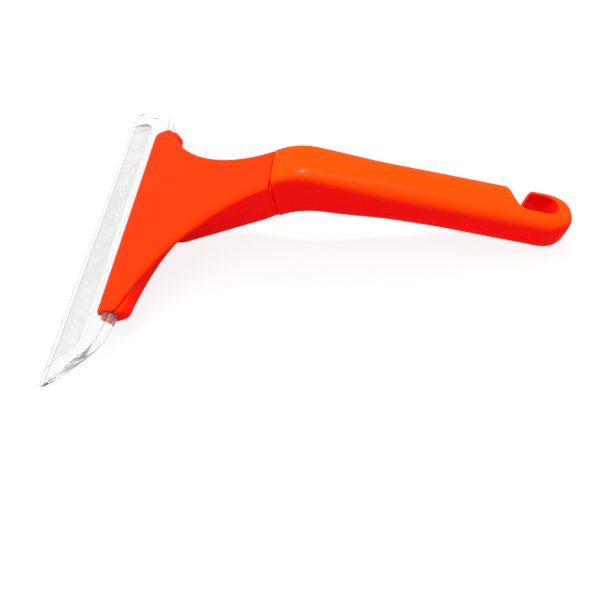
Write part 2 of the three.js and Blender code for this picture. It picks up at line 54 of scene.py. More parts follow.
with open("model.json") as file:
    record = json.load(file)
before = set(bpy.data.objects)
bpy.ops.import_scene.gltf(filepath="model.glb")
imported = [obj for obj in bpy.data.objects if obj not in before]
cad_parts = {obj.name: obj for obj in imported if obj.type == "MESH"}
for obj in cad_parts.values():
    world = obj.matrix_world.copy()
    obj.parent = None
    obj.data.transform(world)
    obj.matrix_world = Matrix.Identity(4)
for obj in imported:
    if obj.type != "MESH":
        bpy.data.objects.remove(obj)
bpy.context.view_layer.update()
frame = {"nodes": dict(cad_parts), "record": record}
MM = 0.001
SKIN_INSET = 0.03 * MM  # keeps a smooth skin inside its faceted solid

# Cells of the grids on which the skins are worked out
GRIP_CELL = 0.45 * MM
COVER_CELL = 0.4 * MM
BASE_CELL = 0.45 * MM
BLADE_CELL = 0.36 * MM

# Points along the curves of the outlines
MOUTH_POINTS = 20
BOW_POINTS = 24
FAN_POINTS = 40
FILLET_POINTS = 30
RIM_POINTS = 24
CORNER_POINTS = 8
WIDE_CORNER_POINTS = 10

# Least values, which keep a division or a root from failing
LEAST_SQUARE = 1e-18
LEAST_SLOPE = 1e-6
LEAST_RING = 1e-12

# Lens in millimetres, place in metres and turn in degrees
CAMERA_LENS = 41.36
CAMERA_SENSOR = 36
CAMERA_NEAR = 0.01
CAMERA_PLACE = (0.04858, -0.1995, 0.23777)
CAMERA_TURN = (35.1, 7.802, 6.624)

# Name, place and size in metres, and watts
LAMPS = (
    ("key", (0.15, 0.25, 0.93), (0.7, 0.7), 4.5),
    ("spark", (-0.05, 0.41, 0.9), (0.1, 0.06), 6.5),
    ("strip", (-0.1, -0.17, 1.0), (0.5, 0.03), 2.5),
)
ROOM_LIGHT = 0.6

# The floor, with lengths in metres
FLOOR_HALF = 3.0
FLOOR_TONE = (0.9, 0.9, 0.9, 1)
FLOOR_WHITE = 0.86  # share of plain white round the tool
FLOOR_FADE = (0.25, 0.9)  # distances between which the share rises to 1


def length(name, description, millimetres):
    """A length property, written in millimetres and kept in metres."""
    return FloatProperty(
        name=name, description=description, default=millimetres * MM, unit="LENGTH", precision=5
    )


def angle(name, description, degrees):
    """An angle property, written in degrees."""
    return FloatProperty(
        name=name, description=description, default=math.radians(degrees), subtype="ANGLE"
    )


def exponent(name, description, value):
    """A property for the exponent of a superellipse: 2 for an ellipse, squarer as it grows."""
    return FloatProperty(name=name, description=description, default=value)


def colour(name, description, *rgb):
    """A colour property."""
    return FloatVectorProperty(
        name=name, description=description, default=rgb, size=3, subtype="COLOR", min=0, max=1
    )


class ScraperGripSizes(bpy.types.PropertyGroup):
    """Sizes of the grip and its hook."""

    length: length("Length", "Bend to the end of the hook", 116.5)
    width: length("Width", "Across the grip", 20.4)
    height: length("Height", "Depth of the grip before the hook", 17.6)
    bend_height: length("Bend height", "Depth of the grip at the bend", 20.8)
    taper: length("Taper", "Length over which the grip gets shallower", 60)
    roundness: exponent("Roundness", "Exponent of the grip's section", 3.2)
    neck_roundness: exponent("Neck roundness", "Exponent of the section at the seam", 7)
    neck_blend: length("Neck blend", "Seam to where the section has its full roundness", 48)
    nose: length("Nose", "Length over which the end rounds off", 12.5)
    nose_roundness: exponent("Nose roundness", "Exponent of the end from above", 2.2)
    heel_roundness: exponent("Heel roundness", "Exponent of the end from the side", 4)
    bend: angle("Bend", "Angle between grip and head", 38)
    bend_radius: length("Bend radius", "Radius of the bend's top beyond its depth", 5)
    bend_fillet: length("Bend fillet", "Rounding of the bend's underside", 4)
    seam: length("Seam", "Bend to the seam, along the top of the neck", 11.5)
    slot_width: length("Slot width", "Width of the hanging slot", 10.2)
    slot_wall: length("Slot wall", "Flat wall of the slot from the grip's middle", -3.6)
    slot_start: length("Slot start", "End of the grip to where the flat wall starts", 20)
    hook_wall: length("Hook wall", "Material round the end of the slot", 7.2)
    mouth_width: length("Mouth width", "Opening on the side of the grip", 11.2)
    mouth_start: length("Mouth start", "End of the grip to the mouth", 29.3)
    mouth_round: length("Mouth round", "Corner of the mouth", 2.1)
    wall_round: length("Wall round", "Corner between mouth and flat wall", 6.7)
    rim_radius: length("Rim radius", "Rounded rim of the slot", 1.1)
    seam_radius: length("Seam radius", "Rounded edge at the seam on top", 0.45)


class ScraperHeadSizes(bpy.types.PropertyGroup):
    """Sizes of the cover and the base."""

    gap: length("Gap", "Between pieces that meet", 0.3)
    seam_gap: length("Seam gap", "Groove between grip and cover", 0.9)
    base_gap: length("Base gap", "Groove between grip and base", 0.12)
    step: length("Step", "How far the grip's top stands proud of the head", 0.9)
    length: length("Length", "Bend to the front of the head", 91.5)
    width: length("Width", "Across the head's front", 109)
    end: length("End", "Length of each end of the fan", 11)
    neck_width: length("Neck width", "Across the fan at the seam", 21.6)
    neck_reach: length("Neck reach", "How far the fan's edge runs on along the neck", 39.5)
    wing_reach: length("Wing reach", "How far the fan's edge runs on along the wing", 27)
    corner: length("Corner", "Corner of the fan", 3.2)
    edge_radius: length("Edge radius", "Rounded edge of the fan", 2.4)
    cover: length("Cover", "Thickness of the cover", 3)
    front_radius: length("Front radius", "Rounded front of the cover", 5)
    thickness: length("Thickness", "Depth of the head at its front", 10.2)
    neck_depth: length("Neck depth", "Depth of the keel", 19.5)
    keel_width: length("Keel width", "Across the keel", 19.2)
    keel_front: length("Keel front", "Front of the head to the foot of the keel's ramp", 14)
    keel_ramp: length("Keel ramp", "Length of the keel's ramp", 10)
    neck_radius: length("Neck radius", "Rounded lower edges of the keel at the seam", 4.6)
    neck_blend: length("Neck blend", "Length over which the keel takes the grip's section", 16)
    base_setback: length("Base setback", "Front of the base from the cover's", 0.8)
    base_radius: length("Base radius", "Rounded lower edges of the base", 2)
    base_end: length("Base end", "Length of each end of the front bar", 14)
    rim_radius: length("Rim radius", "Rounded upper edge of the base", 1.4)
    fillet_reach: length("Fillet reach", "Front of the head to the fillets on the keel", 46.5)
    keel_sweep: length("Keel sweep", "How far each fillet runs on along the keel", 17)
    bar_sweep: length("Bar sweep", "How far each fillet runs on along the front bar", 22)
    bar_lean: length("Bar lean", "How far each fillet leans back along the front bar", 5.5)
    base_corner: length("Base corner", "Corner of the front bar", 5)
    recess_radius: length("Recess radius", "Radius of the sunk screw seats", 3)
    recess_depth: length("Recess depth", "Depth of the sunk screw seats", 2.6)


class ScraperBladeSizes(bpy.types.PropertyGroup):
    """Sizes of the blade."""

    reach: length("Reach", "Front of the head to the scraping edge", 24.5)
    width: length("Width", "Along the scraping edge", 164.8)
    thickness: length("Thickness", "Thickness of the shoulder", 3.2)
    edge: length("Edge", "Thickness of the scraping edge", 0.8)
    lip: length("Lip", "Length of the bevel behind the edge", 4.6)
    tip_round: length("Tip round", "Corner of each tip", 3)
    shoulder: length("Shoulder", "Thick stretch in front of the head", 6)
    rim: length("Rim", "Thick stretch along each end", 6)
    sweep: length("Sweep", "How far each end bows out", 6)
    panel_drop: length("Panel drop", "How far the panel is sunk", 1.2)
    panel_corner: length("Panel corner", "Corner of the panel", 5)
    panel_taper: length("Panel taper", "How much narrower the panel is at its back", 10)
    bead_radius: length("Bead radius", "Radius of the bead", 3.1)
    bead_setback: length("Bead setback", "Front of the head to the bead's middle", 6.4)
    bead_width: length("Bead width", "Where the bead turns into the rims", 114)
    bead_turn: length("Bead turn", "How far the bead runs on while it turns", 12)
    tip_radius: length("Tip radius", "Radius of the rims at the tips", 1.3)


class ScraperFinish(bpy.types.PropertyGroup):
    """Colours and grain of the finishes, with painted shade in the red, the head's darker orange
    and the blade's dark lines.
    """

    orange: colour("Orange", "The grip where it faces up", 1.0, 0.055, 0.0)
    # Painted shade: the head's orange has less green than the grip's, a darker copy that stands in
    # for the head getting less light.
    shaded_head_orange: colour("Head orange", "The head where it faces up", 1.0, 0.03, 0.0)
    # Painted shade: this red is mixed in where a surface turns from facing up, standing in for the
    # shade on sides and undersides.
    red: colour("Red", "Grip and head where they face sideways and down", 0.8, 0.0, 0.0)
    clear: colour("Clear", "Clear plastic of the blade", 0.94, 0.945, 0.95)
    frost: colour("Frost", "The blade's frosted panel", 0.76, 0.75, 0.735)
    # Painted shade: these dark lines along the blade's panel, lip and bead stand in for the shade
    # seen in the clear plastic's edges.
    painted_shade_lines: colour("Crease", "Edges of the blade's panel and lip", 0.26, 0.25, 0.26)
    steel: colour("Steel", "Screws", 0.6, 0.61, 0.62)
    stipple: length("Stipple", "Spacing of the grain on the grip", 0.7)


def sizes():
    """The grip's, head's and blade's sizes."""
    scene = bpy.context.scene
    return scene.scraper_grip, scene.scraper_head, scene.scraper_blade


def turned(turn):
    """The rotation about Y that carries +Z towards +X by the given angle."""
    c, s = math.cos(turn), math.sin(turn)
    return np.array([[c, 0, s], [0, 1, 0], [-s, 0, c]])


def placing():
    """Where the grip's and the head's frames stand in the row frame, from the record's mounts.

    The head's tilt is that of its flat top, the grip is bent up from it, and the middle of the
    hanging slot's flat wall fixes the origin, which both frames share but for the step at the seam.
    """
    grip, head, _ = sizes()
    mounts = {mount["name"]: mount for mount in frame["record"]["mounts"]}
    ahead, _, upward = mounts["head_top"]["axis"]
    head_turn = math.atan2(ahead, upward)
    grip_turn = head_turn + grip.bend
    slot_end = grip.length - grip.hook_wall - grip.slot_width / 2
    middle = (grip.length - grip.slot_start + slot_end) / 2
    wall = np.array([middle, grip.slot_wall, -grip.height / 2])
    origin = np.array(mounts["hang_wall"]["pos_m"]) - turned(grip_turn) @ wall
    head_origin = origin + turned(head_turn) @ np.array([0, 0, -head.step])
    return (turned(grip_turn), origin), (turned(head_turn), head_origin)


def round_max(a, b, radius):
    """What lies in both of two fields, with the edge between them rounded to a radius."""
    corner = np.hypot(np.maximum(a + radius, 0), np.maximum(b + radius, 0))
    return np.minimum(np.maximum(a, b), -radius) + corner


def round_min(a, b, radius):
    """What lies in either of two fields, with a fillet of a radius between them."""
    return -round_max(-a, -b, radius)


def ease(share):
    """A share kept between 0 and 1 that starts and ends level: 3 s squared less 2 s cubed."""
    share = np.clip(share, 0, 1)
    return share**2 * (3 - 2 * share)


def bezier(points, count):
    """Points along a quadratic or cubic curve, from its control points, without the last one."""
    t = np.arange(count)[:, None] / count
    level = [np.array(p, dtype=float)[None, :] for p in points]
    while len(level) > 1:
        level = [(1 - t) * a + t * b for a, b in zip(level, level[1:])]
    return level[0]


def mirrored(half):
    """A closed outline from its half at positive Y, by reflecting it in the X axis."""
    return np.concatenate([half, half[::-1] * [1, -1]])


def plan_distance(x, y, outline):
    """Signed distance in plan to a closed outline, negative inside it.

    For each side, the nearest point is the foot of the perpendicular, kept between its ends. The
    sign comes from how often a ray along +X crosses the outline.
    """
    x, y = np.broadcast_arrays(x, y)
    nearest = np.full(x.shape, np.inf)
    inside = np.zeros(x.shape, dtype=bool)
    for (ax, ay), (bx, by) in zip(outline, np.roll(outline, -1, axis=0)):
        side_x, side_y = bx - ax, by - ay
        square = max(side_x**2 + side_y**2, LEAST_SQUARE)
        along = np.clip(((x - ax) * side_x + (y - ay) * side_y) / square, 0, 1)
        away = (x - ax - along * side_x) ** 2 + (y - ay - along * side_y) ** 2
        nearest = np.minimum(nearest, away)
        if ay != by:
            inside ^= ((ay > y) != (by > y)) & (x < ax + (y - ay) * side_x / side_y)
    return np.where(inside, -1, 1) * np.sqrt(nearest)


def along_tube(x, y, path, radii):
    """Distance in plan to a path, and the radius there of the tapered tube round it.

    For each stretch of the path, the nearest point in plan gives the radius there. The stretch that
    reaches nearest is kept.
    """
    x, y = np.broadcast_arrays(x, y)
    best = np.full(x.shape, np.inf)
    away = np.zeros(x.shape)
    radius = np.zeros(x.shape)
    for (ax, ay), (bx, by), low, high in zip(path, path[1:], radii, radii[1:]):
        side_x, side_y = bx - ax, by - ay
        square = side_x**2 + side_y**2
        along = np.clip(((x - ax) * side_x + (y - ay) * side_y) / square, 0, 1)
        gap = np.hypot(x - ax - along * side_x, y - ay - along * side_y)
        here = low + along * (high - low)
        closer = gap - here < best
        best = np.where(closer, gap - here, best)
        away = np.where(closer, gap, away)
        radius = np.where(closer, here, radius)
    return away, radius


def net(field, low, high, step):
    """Vertices and four-sided faces of a field's zero surface, on a grid with two cells to spare.

    A cell whose corners differ in sign gets one vertex, at the mean of the points where its edges
    cross zero. Each crossing edge joins the vertices of the four cells round it.
    """
    axes = [np.arange(a - 2 * step, b + 3 * step, step) for a, b in zip(low, high)]
    shape = tuple(len(axis) for axis in axes)
    x, y, z = np.meshgrid(*axes, indexing="ij", sparse=True)
    values = np.broadcast_to(field(x, y, z), shape)
    cells = tuple(n - 1 for n in shape)
    total = np.zeros(cells + (3,))
    count = np.zeros(cells)
    crossings = []
    for axis in range(3):
        others = [(axis + 1) % 3, (axis + 2) % 3]
        before = np.take(values, range(cells[axis]), axis=axis)
        after = np.take(values, range(1, shape[axis]), axis=axis)
        cross = (before < 0) != (after < 0)
        share = np.where(cross, before / np.where(cross, before - after, 1), 0)
        crossings.append((cross, before < 0))
        for first in (0, 1):
            for second in (0, 1):
                part = [slice(None)] * 3
                part[others[0]] = slice(first, first + cells[others[0]])
                part[others[1]] = slice(second, second + cells[others[1]])
                hit = cross[tuple(part)]
                total[..., axis] += np.where(hit, share[tuple(part)], 0)
                total[..., others[0]] += np.where(hit, first, 0)
                total[..., others[1]] += np.where(hit, second, 0)
                count += hit
    active = count > 0
    number = np.full(cells, -1)
    number[active] = np.arange(active.sum())
    corner = np.argwhere(active)
    places = corner + total[active] / count[active][:, None]
    vertices = places * step + [axis[0] for axis in axes]
    faces = []
    for axis, (cross, leaves) in enumerate(crossings):
        others = [(axis + 1) % 3, (axis + 2) % 3]
        at = np.argwhere(cross)
        ring = []
        for first, second in ((-1, -1), (0, -1), (0, 0), (-1, 0)):
            cell = at.copy()
            cell[:, others[0]] += first
            cell[:, others[1]] += second
            ring.append(number[tuple(cell.T)])
        quads = np.stack(ring, axis=1)
        outward = leaves[cross]
        faces.append(np.where(outward[:, None], quads, quads[:, ::-1]))
    return vertices, np.concatenate(faces)


def settle(field, vertices, step, rounds=4):
    """Vertices moved onto a field's zero surface, by steps along its slope, each its value long."""
    reach = step / 20
    for _ in range(rounds):
        value = field(*vertices.T)
        slope = np.empty_like(vertices)
        for axis in range(3):
            shift = np.zeros(3)
            shift[axis] = reach
            rise = field(*(vertices + shift).T) - field(*(vertices - shift).T)
            slope[:, axis] = rise / (2 * reach)
        square = np.maximum((slope**2).sum(axis=1), LEAST_SLOPE)
        move = slope * (value / square)[:, None]
        far = np.maximum(np.linalg.norm(move, axis=1) / (step / 2), 1)
        vertices = vertices - move / far[:, None]
    return vertices


def skin(name, field, box, step, place, material, node, marks=()):
    """A smooth piece made from a field, put in its place in the row frame, riding for a CAD node.

    Each mark is a named value that is worked out for every vertex and kept for the material.
    """
    vertices, faces = net(field, *box, step)
    vertices = settle(field, vertices, step)
    marked = [(label, mark(*vertices.T)) for label, mark in marks]
    rotation, origin = place
    vertices = vertices @ rotation.T + origin
    mesh = bpy.data.meshes.new(name)
    mesh.vertices.add(len(vertices))
    mesh.vertices.foreach_set("co", vertices.astype(np.float32).ravel())
    mesh.loops.add(faces.size)
    mesh.loops.foreach_set("vertex_index", faces.astype(np.int32).ravel())
    mesh.polygons.add(len(faces))
    starts = np.arange(0, faces.size, faces.shape[1], dtype=np.int32)
    mesh.polygons.foreach_set("loop_start", starts)
    mesh.polygons.foreach_set("use_smooth", np.ones(len(faces), dtype=bool))
    mesh.update(calc_edges=True)
    for label, values in marked:
        attribute = mesh.attributes.new(label, "FLOAT", "POINT")
        attribute.data.foreach_set("value", values.astype(np.float32))
    mesh.materials.append(material)
    piece = bpy.data.objects.new(name, mesh)
    bpy.context.collection.objects.link(piece)
    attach(piece, "root")
    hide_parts(node)


def seam_distance(x, z, grip):
    """Distance behind the seam, in the head's frame: the plane leans forward by half the bend."""
    half = grip.bend / 2
    return (x + grip.seam - z * math.tan(half)) * math.cos(half)


def slot_outline(grip):
    """The hook's slot in plan: in from the side, round a corner, along the wall to a round end."""
    start = grip.length - grip.slot_start
    mouth = grip.length - grip.mouth_start
    tip = mouth + grip.mouth_width
    radius = grip.slot_width / 2
    end = grip.length - grip.hook_wall - radius
    side = grip.width / 2
    wall = grip.slot_wall
    bow = np.linspace(-math.pi / 2, math.pi / 2, BOW_POINTS)
    round_end = np.stack([end + radius * np.cos(bow), wall + radius + radius * np.sin(bow)], axis=1)
    into = [
        (mouth, side),
        (mouth + grip.mouth_round, side),
        (start - grip.wall_round, wall),
        (start, wall),
    ]
    outside = [(tip, wall + grip.slot_width), (tip, grip.width), (mouth, grip.width)]
    return np.concatenate([bezier(into, MOUTH_POINTS), [(start, wall)], round_end, outside])


def grip_field(grip, head):
    """The grip: a superellipse carried round the bend and along the shaft to a nose, less the slot.

    A point's depth below the top line is measured along the way up of the section that it lies in.
    The section's height reaches from the top line to the undersides of shaft and neck, which a
    fillet joins. Its half sizes shrink along the nose. The seam cuts off the neck, with a rounder
    edge along the cover than along the base.
    """
    bend_radius = grip.bend_height + grip.bend_radius
    tangent = bend_radius * math.tan(grip.bend / 2)
    bend_cos, bend_sin = math.cos(grip.bend), math.sin(grip.bend)
    half_cos, half_sin = math.cos(grip.bend / 2), math.sin(grip.bend / 2)
    nose_start = grip.length - grip.nose
    nose_limit = 0.9999  # short of 1, where the section has no size
    slot = slot_outline(grip)

    def field(x, y, z):
        turn = np.clip(np.arctan2(tangent - x, z + bend_radius), 0, grip.bend)
        depth = bend_radius + (x - tangent) * np.sin(turn) - (z + bend_radius) * np.cos(turn)
        taper = ease((x - tangent) / grip.taper)
        shaft = grip.bend_height + (grip.height - grip.bend_height) * taper
        neck_under = x * bend_sin - z * bend_cos - grip.bend_height
        height = depth - round_min(-z - shaft, neck_under, grip.bend_fillet)
        onward = ease((x * half_cos + z * half_sin + grip.seam) / grip.neck_blend)
        power = grip.neck_roundness + (grip.roundness - grip.neck_roundness) * onward
        nose = np.clip((x - nose_start) / grip.nose, 0, nose_limit)
        half_width = grip.width / 2 * (1 - nose**grip.nose_roundness) ** (1 / grip.nose_roundness)
        half_height = height / 2 * (1 - nose**grip.heel_roundness) ** (1 / grip.heel_roundness)
        across = np.abs(y) / half_width
        upright = np.abs(depth - height / 2) / half_height
        ring = (across**power + upright**power + LEAST_RING) ** (1 / power)
        body = (ring - 1) * np.minimum(half_width, half_height)
        body = np.maximum(body, x - grip.length) + SKIN_INSET
        behind = x * bend_cos + z * bend_sin
        lift = -x * bend_sin + z * bend_cos + head.step
        seam = seam_distance(behind, lift, grip)
        top = np.clip(lift / head.cover + 2, 0, 1)
        body = round_max(body, -seam, head.base_gap + (grip.seam_radius - head.base_gap) * top)
        return round_max(body, -plan_distance(x, y, slot), grip.rim_radius)

    return field


def fan_outline(grip, head):
    """The fan in plan: from the neck along a sweeping edge to a short end, and past the front."""
    half, neck, wing = head.width / 2, head.neck_width / 2, head.end - head.length
    knee = (wing + head.corner / 2, half - head.corner)
    past = (wing - head.corner, half)
    sweep = [
        (-grip.seam, neck),
        (-head.neck_reach, neck),
        (wing + head.wing_reach / 2, half - head.wing_reach),
        knee,
    ]
    round_corner = bezier([knee, (wing, half), past], CORNER_POINTS)
    end = [past, (-head.length - head.end, half)]
    edge = [[(0, neck)], bezier(sweep, FAN_POINTS), round_corner, end]
    return mirrored(np.concatenate(edge))


def base_outline(head):
    """The base in plan: a stem that spreads in two fillets into a bar, and on past the front."""
    half, stem = head.width / 2, head.keel_width / 2 - head.gap
    wing = head.base_end - head.length
    corner = half - head.base_corner
    foot = head.fillet_reach - head.length
    past = (wing - head.base_corner, half)
    sweep = [
        (foot, stem),
        (foot - head.keel_sweep, stem + head.gap),
        (wing + head.bar_lean, corner - head.bar_sweep),
        (wing, corner),
    ]
    round_corner = bezier([(wing, corner), (wing, half), past], WIDE_CORNER_POINTS)
    end = [past, (-head.length - head.end, half)]
    edge = [[(0, stem)], bezier(sweep, FILLET_POINTS), round_corner, end]
    return mirrored(np.concatenate(edge))


def blade_depth(head, blade):
    """Depth of the blade's middle below the cover's top."""
    return head.cover + head.gap + blade.thickness / 2


def bead_groove(x, z, head, blade):
    """Distance to the groove round the bead, across the whole head."""
    away = np.hypot(x + head.length - blade.bead_setback, z + blade_depth(head, blade))
    return away - blade.bead_radius - head.gap


def cover_field(grip, head, blade):
    """The cover: the fan with rounded edges, cut off below and at the seam, less the groove."""
    fan = fan_outline(grip, head)
    crisp = head.gap

    def field(x, y, z):
        body = round_max(plan_distance(x, y, fan), z, head.edge_radius)
        front = round_max(-x - head.length, z, head.front_radius)
        body = round_max(body, front, head.edge_radius)
        body = round_max(body, -z - head.cover, crisp)
        body = round_max(body, -bead_groove(x, z, head, blade), crisp)
        return round_max(body, seam_distance(x, z, grip) + head.seam_gap, grip.seam_radius)

    return field


def screw_places():
    """Middles of the screws in the head's frame, from the boxes of their CAD nodes."""
    _, (rotation, origin) = placing()
    names = ("neck_screw_rear", "neck_screw_front", "head_screw_left", "head_screw_right")
    middles = np.array([np.mean(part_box(name), axis=0) for name in names])
    return (middles - origin) @ rotation


def base_field(grip, head, blade):
    """The base: the front bar and the deeper keel, less the blade's way and the screw seats.

    Near the seam the keel takes on the grip's width and its rounder edges.
    """
    bar_plan = base_outline(head)
    half = head.keel_width / 2
    nose = head.keel_front - head.length
    flush = grip.width / 2 - SKIN_INSET
    blend = -grip.seam - head.neck_blend
    keel_plan = mirrored(np.array([(0, flush), (-grip.seam, flush), (blend, half), (nose, half)]))
    crisp = head.gap
    depth = blade_depth(head, blade)
    screws = screw_places()
    unders = (head.neck_depth, head.neck_depth, head.thickness, head.thickness)

    def field(x, y, z):
        bar = round_max(plan_distance(x, y, bar_plan), -z - head.thickness, head.base_radius)
        bar = round_max(bar, -x - head.length + head.base_setback, crisp)
        ramp = np.clip((nose + head.keel_ramp - x) / head.keel_ramp, 0, 1)
        floor = head.neck_depth - (head.neck_depth - head.thickness) * ramp**2
        near = np.clip((x - blend) / head.neck_blend, 0, 1)
        edge = head.base_radius + (head.neck_radius - head.base_radius) * ease(near)
        rim = head.rim_radius + (crisp - head.rim_radius) * near
        keel = round_max(plan_distance(x, y, keel_plan), -z - floor, edge)
        body = round_min(bar, keel, head.base_radius / 2)
        body = round_max(body, z + head.cover + head.gap, rim)
        body = round_max(body, -bead_groove(x, z, head, blade), crisp)
        slit_floor = -z - depth - blade.thickness / 2 - head.gap
        slit = np.maximum(x + head.length - blade.bead_setback, slit_floor)
        body = round_max(body, -slit, crisp)
        for (screw_x, screw_y, _), under in zip(screws, unders):
            bore = np.hypot(x - screw_x, y - screw_y) - head.recess_radius
            body = round_max(body, -np.maximum(bore, z + under - head.recess_depth), crisp)
        return round_max(body, seam_distance(x, z, grip) + head.base_gap, head.base_gap)

    return field


def blade_outline(blade):
    """The blade in plan, with the front of the head at X = 0: ends that bow out to rounded tips."""
    tip, front = blade.width / 2, -blade.reach
    corner = blade.tip_round
    root = (blade.bead_setback, blade.bead_width / 2)
    start, last = (front + corner, tip), (front, tip - corner)
    end = bezier([root, (0, tip - blade.sweep), start], RIM_POINTS)
    round_tip = bezier([start, (front, tip), last], CORNER_POINTS)
    return mirrored(np.concatenate([end, round_tip, [last]]))


def panel_outline(blade):
    """The sunk panel in plan: narrower at the back, with rounded back corners, and past the lip."""
    rear, front = -blade.shoulder, -blade.reach - blade.lip
    half_front = blade.width / 2 - blade.rim
    corner = half_front - blade.panel_taper
    turn = [
        (rear, corner - blade.panel_corner),
        (rear, corner),
        (rear - blade.panel_corner, corner + blade.panel_corner / 2),
    ]
    round_corner = bezier(turn, WIDE_CORNER_POINTS)
    return mirrored(np.concatenate([round_corner, [turn[-1], (front, half_front)]]))


def bead_path(blade):
    """The middle line of the bead and the end rims from tip to tip, and their radius along it."""
    root = blade.bead_width / 2 - blade.bead_radius
    tip = blade.width / 2 - blade.bead_radius
    last = (blade.lip - blade.reach, tip)
    turn = [
        (blade.bead_setback, root),
        (blade.bead_setback, root + blade.bead_turn),
        (0, tip - blade.sweep),
        last,
    ]
    path = mirrored(np.concatenate([[last], bezier(turn, RIM_POINTS)[::-1]]))
    thin = np.linspace(blade.tip_radius, blade.bead_radius, RIM_POINTS + 1)
    return path, np.concatenate([thin, thin[::-1]])


def blade_field(blade):
    """The blade: a plate with a bead that thins into end rims, a sunk panel and a sloped lip."""
    half = blade.thickness / 2
    outline, panel = blade_outline(blade), panel_outline(blade)
    path, radii = bead_path(blade)
    edge = blade.edge - half
    slope = math.atan2(half - blade.panel_drop - edge, blade.lip)
    soft = blade.edge / 2

    def field(x, y, z):
        plate = round_max(plan_distance(x, y, outline), np.abs(z) - half, 2 * soft)
        away, radius = along_tube(x, y, path, radii)
        body = round_min(plate, np.hypot(away, z) - radius, 2 * soft)
        lip = (z - edge) * math.cos(slope) - (x + blade.reach) * math.sin(slope)
        body = round_max(body, lip, soft / 2)
        body = round_max(body, -x - blade.reach, soft / 2)
        sunk = round_max(plan_distance(x, y, panel), half - blade.panel_drop - z, soft)
        return round_max(body, -sunk, soft)

    return field


def blade_marks(blade):
    """Where the blade is frosted and where it gets painted shade: dark lines along its edges.

    Frost is 1 on the sunk panel and fades out over the edge's thickness at its outline. The painted
    shade is 1 on the panel's outline, along both sides of the lip and, where the bead is over two
    thirds of its full radius, on two streaks half a radius from its middle, dark lines that stand
    in for the shade seen in the clear plastic's edges and bead. It falls off as a bell curve.
    """
    panel = panel_outline(blade)
    line = blade.edge / 2
    lip = blade.lip - blade.reach
    path, radii = bead_path(blade)

    def frost(x, y, z):
        inside = np.clip(0.5 - plan_distance(x, y, panel) / (2 * line), 0, 1)
        return inside * np.clip(0.5 + (x - lip) / (2 * line), 0, 1) * (z > 0)

    # Painted shade: dark lines on the panel's outline, the lip and two streaks on the bead.
    def painted_shade_lines(x, y, z):
        away = np.minimum(np.abs(plan_distance(x, y, panel)), np.abs(x - lip))
        away = np.minimum(away, np.abs(x + blade.reach) / 2)
        lines = np.exp(-((away / line) ** 2)) * (z > line - blade.thickness / 2) * (x < 0)
        aside, radius = along_tube(x, y, path, radii)
        thick = np.clip(3 * radius / blade.bead_radius - 2, 0, 1)
        streaks = np.exp(-(((aside - radius / 2) / line) ** 2)) * (z > 0) * thick
        return np.maximum(lines, streaks)

    return [("frost", frost), ("painted_shade_lines", painted_shade_lines)]


def math_node(tree, operation):
    """A node that works on numbers."""
    node = tree.nodes.new("ShaderNodeMath")
    node.operation = operation
    return node


def mix_node(tree, first, second):
    """A node that mixes two colours, of which a link may replace the first."""
    node = tree.nodes.new("ShaderNodeMix")
    node.data_type = "RGBA"
    node.inputs["A"].default_value = (*first, 1)
    node.inputs["B"].default_value = (*second, 1)
    return node


def grain_group():
    """Moulded grain: fine stipple, broad mottle, and a roughness that follows both."""
    name = "moulded_grain"
    if name in bpy.data.node_groups:
        return bpy.data.node_groups[name]
    stipple_share = 0.35  # of the stipple in the roughness
    group = bpy.data.node_groups.new(name, "ShaderNodeTree")
    sockets, nodes, links = group.interface, group.nodes, group.links
    sockets.new_socket("Vector", in_out="INPUT", socket_type="NodeSocketVector")
    for label in ("Stipple Scale", "Mottle Scale", "Smooth", "Rough"):
        sockets.new_socket(label, in_out="INPUT", socket_type="NodeSocketFloat")
    for label in ("Height", "Mottle", "Roughness"):
        sockets.new_socket(label, in_out="OUTPUT", socket_type="NodeSocketFloat")
    start, end = nodes.new("NodeGroupInput"), nodes.new("NodeGroupOutput")
    stipple = nodes.new("ShaderNodeTexNoise")
    stipple.inputs["Detail"].default_value = 1.0
    mottle = nodes.new("ShaderNodeTexNoise")
    mottle.inputs["Detail"].default_value = 3.0
    spread = math_node(group, "MULTIPLY_ADD")
    spread.inputs[1].default_value = stipple_share
    rough = nodes.new("ShaderNodeMapRange")
    links.new(start.outputs["Vector"], stipple.inputs["Vector"])
    links.new(start.outputs["Stipple Scale"], stipple.inputs["Scale"])
    links.new(start.outputs["Vector"], mottle.inputs["Vector"])
    links.new(start.outputs["Mottle Scale"], mottle.inputs["Scale"])
    links.new(stipple.outputs["Fac"], spread.inputs[0])
    links.new(mottle.outputs["Fac"], spread.inputs[2])
    links.new(spread.outputs["Value"], rough.inputs["Value"])
    links.new(start.outputs["Smooth"], rough.inputs["To Min"])
    links.new(start.outputs["Rough"], rough.inputs["To Max"])
    links.new(stipple.outputs["Fac"], end.inputs["Height"])
    links.new(mottle.outputs["Fac"], end.inputs["Mottle"])
    links.new(rough.outputs["Result"], end.inputs["Roughness"])
    return group


def new_material(name, stipple, mottle, smooth, rough, strength, depth):
    """A material with its shader and the shared grain, which drives its roughness and a bump.

    Stipple and mottle are the scales of the grain, smooth and rough the ends of its roughness, and
    strength and depth those of the bump.
    """
    material = bpy.data.materials.new(name)
    material.use_nodes = True
    nodes, links = material.node_tree.nodes, material.node_tree.links
    shader = nodes["Principled BSDF"]
    where = nodes.new("ShaderNodeTexCoord")
    grain = nodes.new("ShaderNodeGroup")
    grain.node_tree = grain_group()
    grain.inputs["Stipple Scale"].default_value = stipple
    grain.inputs["Mottle Scale"].default_value = mottle
    grain.inputs["Smooth"].default_value = smooth
    grain.inputs["Rough"].default_value = rough
    bump = nodes.new("ShaderNodeBump")
    bump.inputs["Strength"].default_value = strength
    bump.inputs["Distance"].default_value = depth
    links.new(where.outputs["Object"], grain.inputs["Vector"])
    links.new(grain.outputs["Height"], bump.inputs["Height"])
    links.new(grain.outputs["Roughness"], shader.inputs["Roughness"])
    links.new(bump.outputs["Normal"], shader.inputs["Normal"])
    return material, shader, grain


